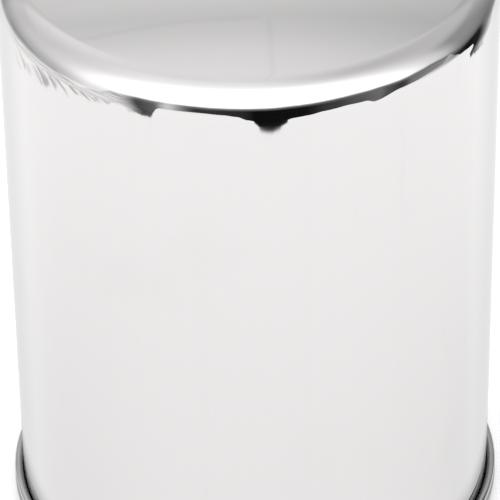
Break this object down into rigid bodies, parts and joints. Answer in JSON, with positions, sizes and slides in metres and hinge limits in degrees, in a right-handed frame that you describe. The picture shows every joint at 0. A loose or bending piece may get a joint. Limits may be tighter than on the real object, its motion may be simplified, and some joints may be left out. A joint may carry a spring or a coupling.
{
  "type": "spin-on oil filter",
  "caption": "Spin-on engine oil filter: chromed domed can double-seamed over a threaded base plate, with a pleated cartridge and relief valve inside.",
  "frame": {"origin": "centre of the sealing ring's lower face, where the filter stands and where it meets the engine", "axes": "+Z along the thread's axis, from the threaded base to the domed closed end; the joint in the pleated paper is at +X"},
  "size_m": [0.0788, 0.0788, 0.1],
  "materials": {
    "chrome_can": "mirror-bright chrome on drawn steel",
    "chrome_seam": "bright chrome, faintly marked by the seaming rolls",
    "seam_sealant": "matte",
    "zinc_plate": "satin zinc on stamped steel",
    "black_rubber": "matte moulded",
    "red_rubber": "matte moulded",
    "tinned_steel": "tinned sheet",
    "bond_resin": "cast",
    "filter_paper": "fibrous, folded",
    "zinc_tube": "satin zinc",
    "spring_steel": "oiled, dark",
    "valve_steel": "plain"
  },
  "bodies": {
    "filter": {"can_shell": "chrome_can", "seaming_lid": "chrome_seam", "seam_compound": "seam_sealant", "thread_plate": "zinc_plate", "base_gasket": "black_rubber", "anti_drain_valve": "red_rubber", "lower_end_cap": "tinned_steel", "lower_bond": "bond_resin", "pleated_media": "filter_paper", "media_seam_clip": "tinned_steel", "centre_tube": "zinc_tube", "upper_bond": "bond_resin", "upper_end_cap": "tinned_steel", "bypass_seat": "tinned_steel", "bypass_cage": "tinned_steel", "bypass_spring": "spring_steel", "hold_down_spring": "spring_steel"},
    "relief_valve": {"bypass_disc": "valve_steel", "bypass_seal": "black_rubber", "bypass_stem": "valve_steel"}
  },
  "joints": [
    {"name": "relief_valve_lift", "type": "slide", "parent": "filter", "child": "relief_valve", "axis": [0, 0, -1], "range_m": [0, 0.0035], "stiffness_N_per_m": 1000, "springref_m": -0.01, "deforming": ["bypass_spring"]}
  ]
}
